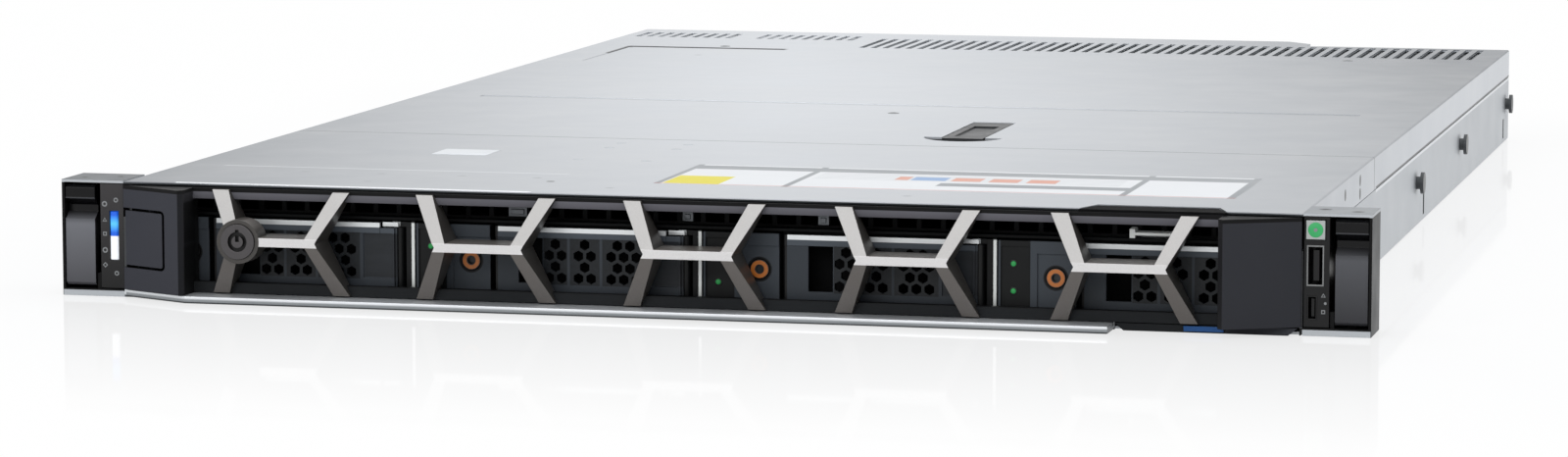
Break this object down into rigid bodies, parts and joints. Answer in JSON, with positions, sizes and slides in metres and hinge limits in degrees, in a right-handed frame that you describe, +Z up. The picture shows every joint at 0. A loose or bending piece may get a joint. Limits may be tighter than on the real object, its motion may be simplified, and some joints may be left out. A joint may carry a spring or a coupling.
{
  "type": "1u rack server",
  "caption": "Flat rack-mount server with a lockable honeycomb bezel, front drive carriers, a sliding top cover and rear power supplies.",
  "frame": {"origin": "on the chassis underside, midway between the ears, in the plane of the ears' rear faces, where they meet the rack posts", "axes": "+X to the right seen from the front, +Y towards the rear, +Z up"},
  "size_m": [0.482, 0.7493, 0.0428],
  "materials": {
    "cover_metal": "satin galvanised sheet, lightly grained",
    "steel": "satin galvanised sheet",
    "black_plastic": "fine textured moulding",
    "bezel_plastic": "fine textured moulding",
    "silver_paint": "metallic paint, lighter on the upper slopes",
    "grip_plastic": "glossy and satin bands",
    "dark_metal": "dark satin sheet",
    "carrier_plastic": "fine textured moulding",
    "orange_plastic": "moulded ring",
    "light_pipe": "half blue, half white light pipe",
    "button_metal": "plated cap with a green lens",
    "connector_metal": "plated shell",
    "tag_plastic": "blue pull tag",
    "lock_metal": "plated key cylinder",
    "drive_metal": "cast and bare",
    "board": "laminate with solder mask",
    "heatsink_metal": "milled fins",
    "shroud_plastic": "moulded sheet",
    "fan_plastic": "glass-filled moulding",
    "supply_metal": "plated sheet",
    "handle_plastic": "orange-brown release tab"
  },
  "bodies": {
    "chassis": {"chassis_tray": "steel", "drive_bay_cover": "cover_metal", "drive_cage": "dark_metal", "ear_left": "steel", "ear_right": "steel", "control_panel_left": "black_plastic", "control_panel_right": "black_plastic", "front_ports": "connector_metal", "info_tag_holder": "bezel_plastic", "backplane": "board", "fan_housings": "fan_plastic", "system_board": "board", "cpu_heatsinks": "heatsink_metal", "dimm_modules": "board", "air_shroud": "shroud_plastic", "riser_cage": "steel", "expansion_blanks": "steel", "rear_ports": "connector_metal", "ocp_card": "connector_metal", "rail_studs": "steel"},
    "bezel": {"bezel_frame": "bezel_plastic", "bezel_grille": "silver_paint"},
    "bezel_lock": {"bezel_lock": "lock_metal"},
    "bezel_release_button": {"bezel_release_button": "bezel_plastic"},
    "cover": {"top_cover": "cover_metal", "cover_latch_base": "shroud_plastic"},
    "cover_latch_lever": {"cover_latch_lever": "shroud_plastic"},
    "ear_latch_left": {"ear_latch_left": "grip_plastic"},
    "ear_latch_right": {"ear_latch_right": "grip_plastic"},
    "power_button": {"power_button": "button_metal"},
    "id_button": {"id_button": "light_pipe"},
    "info_tag": {"info_tag": "tag_plastic"},
    "drive_1": {"drive_carrier_1": "carrier_plastic", "hard_drive_1": "drive_metal"},
    "drive_lever_1": {"drive_lever_1": "carrier_plastic"},
    "drive_release_button_1": {"drive_release_button_1": "orange_plastic"},
    "drive_2": {"drive_carrier_2": "carrier_plastic", "hard_drive_2": "drive_metal"},
    "drive_lever_2": {"drive_lever_2": "carrier_plastic"},
    "drive_release_button_2": {"drive_release_button_2": "orange_plastic"},
    "drive_3": {"drive_carrier_3": "carrier_plastic", "hard_drive_3": "drive_metal"},
    "drive_lever_3": {"drive_lever_3": "carrier_plastic"},
    "drive_release_button_3": {"drive_release_button_3": "orange_plastic"},
    "drive_4": {"drive_carrier_4": "carrier_plastic", "hard_drive_4": "drive_metal"},
    "drive_lever_4": {"drive_lever_4": "carrier_plastic"},
    "drive_release_button_4": {"drive_release_button_4": "orange_plastic"},
    "psu_1": {"psu_case_1": "supply_metal"},
    "psu_latch_1": {"psu_latch_1": "handle_plastic"},
    "psu_rotor_1": {"psu_rotor_1": "fan_plastic"},
    "psu_2": {"psu_case_2": "supply_metal"},
    "psu_latch_2": {"psu_latch_2": "handle_plastic"},
    "psu_rotor_2": {"psu_rotor_2": "fan_plastic"},
    "fan_rotor_1": {"fan_rotor_1": "fan_plastic"},
    "fan_rotor_2": {"fan_rotor_2": "fan_plastic"},
    "fan_rotor_3": {"fan_rotor_3": "fan_plastic"},
    "fan_rotor_4": {"fan_rotor_4": "fan_plastic"},
    "fan_rotor_5": {"fan_rotor_5": "fan_plastic"},
    "fan_rotor_6": {"fan_rotor_6": "fan_plastic"}
  },
  "joints": [
    {"name": "bezel_pull", "type": "slide", "parent": "chassis", "child": "bezel", "axis": [0, -1, 0], "range_m": [0, 0.3]},
    {"name": "bezel_lock_turn", "type": "hinge", "parent": "bezel", "child": "bezel_lock", "pos_m": [-0.168, -0.03584, 0.0233], "axis": [0, 1, 0], "range_deg": [0, 90]},
    {"name": "bezel_release_press", "type": "slide", "parent": "bezel", "child": "bezel_release_button", "axis": [0, 1, 0], "range_m": [0, 0.0015], "stiffness_N_per_m": 400},
    {"name": "cover_slide", "type": "slide", "parent": "chassis", "child": "cover", "axis": [0, 1, 0], "range_m": [0, 0.012]},
    {"name": "cover_latch_lift", "type": "hinge", "parent": "cover", "child": "cover_latch_lever", "pos_m": [0.049, 0.267, 0.03985], "axis": [-1, 0, 0], "range_deg": [0, 90]},
    {"name": "ear_latch_left_tilt", "type": "hinge", "parent": "chassis", "child": "ear_latch_left", "pos_m": [-0.234, -0.0187, 0.0064], "axis": [1, 0, 0], "range_deg": [0, 25], "stiffness_Nm_per_rad": 0.02},
    {"name": "ear_latch_right_tilt", "type": "hinge", "parent": "chassis", "child": "ear_latch_right", "pos_m": [0.234, -0.0187, 0.0064], "axis": [1, 0, 0], "range_deg": [0, 25], "stiffness_Nm_per_rad": 0.02},
    {"name": "power_button_press", "type": "slide", "parent": "chassis", "child": "power_button", "axis": [0, 1, 0], "range_m": [0, 0.001], "stiffness_N_per_m": 300},
    {"name": "id_button_press", "type": "slide", "parent": "chassis", "child": "id_button", "axis": [0, 1, 0], "range_m": [0, 0.0008], "stiffness_N_per_m": 300},
    {"name": "info_tag_pull", "type": "slide", "parent": "chassis", "child": "info_tag", "axis": [0, -1, 0], "range_m": [0, 0.05]},
    {"name": "drive_1_pull", "type": "slide", "parent": "chassis", "child": "drive_1", "axis": [0, -1, 0], "range_m": [0, 0.2]},
    {"name": "drive_lever_1_swing", "type": "hinge", "parent": "drive_1", "child": "drive_lever_1", "pos_m": [-0.1138, -0.013, 0.016], "axis": [0, 0, 1], "range_deg": [0, 50]},
    {"name": "drive_release_1_press", "type": "slide", "parent": "drive_1", "child": "drive_release_button_1", "axis": [0, 1, 0], "range_m": [0, 0.0015], "stiffness_N_per_m": 300},
    {"name": "drive_2_pull", "type": "slide", "parent": "chassis", "child": "drive_2", "axis": [0, -1, 0], "range_m": [0, 0.2]},
    {"name": "drive_lever_2_swing", "type": "hinge", "parent": "drive_2", "child": "drive_lever_2", "pos_m": [-0.0064, -0.013, 0.016], "axis": [0, 0, 1], "range_deg": [0, 50]},
    {"name": "drive_release_2_press", "type": "slide", "parent": "drive_2", "child": "drive_release_button_2", "axis": [0, 1, 0], "range_m": [0, 0.0015], "stiffness_N_per_m": 300},
    {"name": "drive_3_pull", "type": "slide", "parent": "chassis", "child": "drive_3", "axis": [0, -1, 0], "range_m": [0, 0.2]},
    {"name": "drive_lever_3_swing", "type": "hinge", "parent": "drive_3", "child": "drive_lever_3", "pos_m": [0.101, -0.013, 0.016], "axis": [0, 0, 1], "range_deg": [0, 50]},
    {"name": "drive_release_3_press", "type": "slide", "parent": "drive_3", "child": "drive_release_button_3", "axis": [0, 1, 0], "range_m": [0, 0.0015], "stiffness_N_per_m": 300},
    {"name": "drive_4_pull", "type": "slide", "parent": "chassis", "child": "drive_4", "axis": [0, -1, 0], "range_m": [0, 0.2]},
    {"name": "drive_lever_4_swing", "type": "hinge", "parent": "drive_4", "child": "drive_lever_4", "pos_m": [0.2084, -0.013, 0.016], "axis": [0, 0, 1], "range_deg": [0, 50]},
    {"name": "drive_release_4_press", "type": "slide", "parent": "drive_4", "child": "drive_release_button_4", "axis": [0, 1, 0], "range_m": [0, 0.0015], "stiffness_N_per_m": 300},
    {"name": "psu_1_pull", "type": "slide", "parent": "chassis", "child": "psu_1", "axis": [0, 1, 0], "range_m": [0, 0.2]},
    {"name": "psu_latch_1_press", "type": "hinge", "parent": "psu_1", "child": "psu_latch_1", "pos_m": [-0.2096, 0.6814, 0.03], "axis": [0, 0, -1], "range_deg": [0, 10], "stiffness_Nm_per_rad": 0.05},
    {"name": "psu_rotor_1_spin", "type": "hinge", "parent": "psu_1", "child": "psu_rotor_1", "pos_m": [-0.174, 0.6648, 0.0211], "axis": [0, 1, 0], "continuous": true},
    {"name": "psu_2_pull", "type": "slide", "parent": "chassis", "child": "psu_2", "axis": [0, 1, 0], "range_m": [0, 0.2]},
    {"name": "psu_latch_2_press", "type": "hinge", "parent": "psu_2", "child": "psu_latch_2", "pos_m": [-0.1484, 0.6814, 0.03], "axis": [0, 0, -1], "range_deg": [0, 10], "stiffness_Nm_per_rad": 0.05},
    {"name": "psu_rotor_2_spin", "type": "hinge", "parent": "psu_2", "child": "psu_rotor_2", "pos_m": [-0.1128, 0.6648, 0.0211], "axis": [0, 1, 0], "continuous": true},
    {"name": "fan_rotor_1_spin", "type": "hinge", "parent": "chassis", "child": "fan_rotor_1", "pos_m": [-0.17642, 0.296, 0.02113], "axis": [0, 1, 0], "continuous": true},
    {"name": "fan_rotor_2_spin", "type": "hinge", "parent": "chassis", "child": "fan_rotor_2", "pos_m": [-0.10585, 0.296, 0.02113], "axis": [0, 1, 0], "continuous": true},
    {"name": "fan_rotor_3_spin", "type": "hinge", "parent": "chassis", "child": "fan_rotor_3", "pos_m": [-0.03528, 0.296, 0.02113], "axis": [0, 1, 0], "continuous": true},
    {"name": "fan_rotor_4_spin", "type": "hinge", "parent": "chassis", "child": "fan_rotor_4", "pos_m": [0.03528, 0.296, 0.02113], "axis": [0, 1, 0], "continuous": true},
    {"name": "fan_rotor_5_spin", "type": "hinge", "parent": "chassis", "child": "fan_rotor_5", "pos_m": [0.10585, 0.296, 0.02113], "axis": [0, 1, 0], "continuous": true},
    {"name": "fan_rotor_6_spin", "type": "hinge", "parent": "chassis", "child": "fan_rotor_6", "pos_m": [0.17642, 0.296, 0.02113], "axis": [0, 1, 0], "continuous": true}
  ],
  "couplings": [
    {"joint": "cover_latch_lift", "follows": "cover_slide", "rad_per_m": 130.89},
    {"joint": "drive_1_pull", "follows": "bezel_pull", "ratio": 0.6666},
    {"joint": "drive_lever_1_swing", "follows": "bezel_pull", "rad_per_m": 2.9086},
    {"joint": "drive_2_pull", "follows": "bezel_pull", "ratio": 0.6666},
    {"joint": "drive_lever_2_swing", "follows": "bezel_pull", "rad_per_m": 2.9086},
    {"joint": "drive_3_pull", "follows": "bezel_pull", "ratio": 0.6666},
    {"joint": "drive_lever_3_swing", "follows": "bezel_pull", "rad_per_m": 2.9086},
    {"joint": "drive_4_pull", "follows": "bezel_pull", "ratio": 0.6666},
    {"joint": "drive_lever_4_swing", "follows": "bezel_pull", "rad_per_m": 2.9086}
  ]
}
